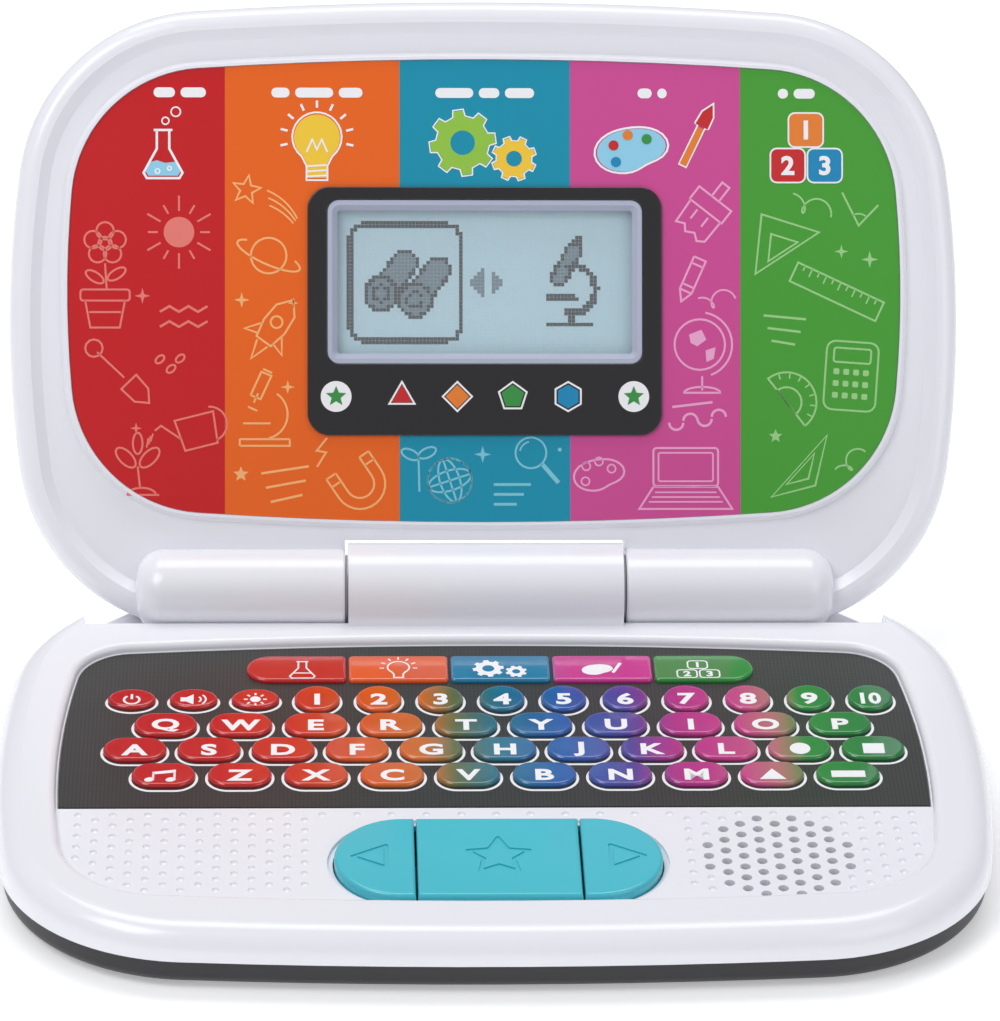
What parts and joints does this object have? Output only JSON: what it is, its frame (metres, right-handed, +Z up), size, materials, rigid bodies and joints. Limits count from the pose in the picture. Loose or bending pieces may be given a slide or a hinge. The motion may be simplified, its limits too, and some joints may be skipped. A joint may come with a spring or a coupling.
{
  "type": "toy laptop computer",
  "caption": "Child's toy laptop with hinged lid, small display, printed key film, turquoise push buttons, speaker and battery bay",
  "frame": {"origin": "on the desk, under the centre of the open laptop's bounding box", "axes": "+Z up, -Y towards the child, +X to the child's right, parallel to the hinge"},
  "size_m": [0.24, 0.2275, 0.1579],
  "materials": {
    "white_shell": "glossy white injection-moulded plastic with a faint lavender shade",
    "black_shell": "satin charcoal-black moulded plastic",
    "key_film": "dark printed film with coloured glossy key domes ringed in white",
    "cyan_button": "glossy turquoise moulded plastic",
    "panel_print": "printed panel in five bright vertical stripes with line icons",
    "display_black": "gloss black plastic",
    "display_grey": "pale grey plastic trim",
    "clear_window": "clear acrylic window",
    "lcd_panel": "pale blue-grey reflective liquid crystal panel",
    "circuit_board": "green solder-masked board",
    "components": "black moulded chips and capacitors",
    "rubber": "soft black rubber",
    "silicone": "pale silicone rubber",
    "steel": "zinc-plated steel",
    "membrane_sheet": "milky polyester switch sheet",
    "battery_wrap": "plain dark battery sleeve with bare metal ends",
    "speaker_paper": "black pressed-paper cone"
  },
  "bodies": {
    "base": {"base_top_shell": "white_shell", "base_bottom_shell": "black_shell", "rubber_feet": "rubber", "base_screws": "steel", "battery_1": "battery_wrap", "battery_2": "battery_wrap", "battery_3": "battery_wrap", "battery_contacts": "steel", "main_board": "circuit_board", "board_components": "components", "board_fixings": "steel", "keyboard_overlay": "key_film", "key_membrane": "membrane_sheet", "button_board": "circuit_board", "button_rubber_pad": "silicone", "speaker_frame": "steel", "speaker_cone": "speaker_paper", "speaker_magnet": "steel"},
    "lid": {"lid_front_shell": "white_shell", "lid_back_shell": "white_shell", "lid_screws": "steel", "lid_label": "panel_print", "display_bezel": "display_black", "display_trim": "display_grey", "lcd_window": "clear_window", "lcd_module": "lcd_panel", "display_board": "circuit_board", "display_board_screws": "steel", "hinge_pin_left": "steel", "hinge_pin_right": "steel", "friction_washers": "silicone"},
    "left_button": {"left_arrow_button": "cyan_button"},
    "star_key": {"star_button": "cyan_button"},
    "right_button": {"right_arrow_button": "cyan_button"},
    "door": {"battery_door": "black_shell", "battery_door_screw": "steel"}
  },
  "joints": [
    {"name": "lid_hinge", "type": "hinge", "parent": "base", "child": "lid", "pos_m": [0, 0.0349, 0.0265], "axis": [1, 0, 0], "range_deg": [0, 121]},
    {"name": "left_button_press", "type": "slide", "parent": "base", "child": "left_button", "axis": [0, 0.0523, -0.9986], "range_m": [0, 0.0012], "stiffness_N_per_m": 1200},
    {"name": "star_button_press", "type": "slide", "parent": "base", "child": "star_key", "axis": [0, 0.0523, -0.9986], "range_m": [0, 0.0012], "stiffness_N_per_m": 1200},
    {"name": "right_button_press", "type": "slide", "parent": "base", "child": "right_button", "axis": [0, 0.0523, -0.9986], "range_m": [0, 0.0012], "stiffness_N_per_m": 1200},
    {"name": "battery_door_hinge", "type": "hinge", "parent": "base", "child": "door", "pos_m": [-0.0262, -0.0116, 0.0012], "axis": [0, 1, 0], "range_deg": [0, 60]}
  ]
}
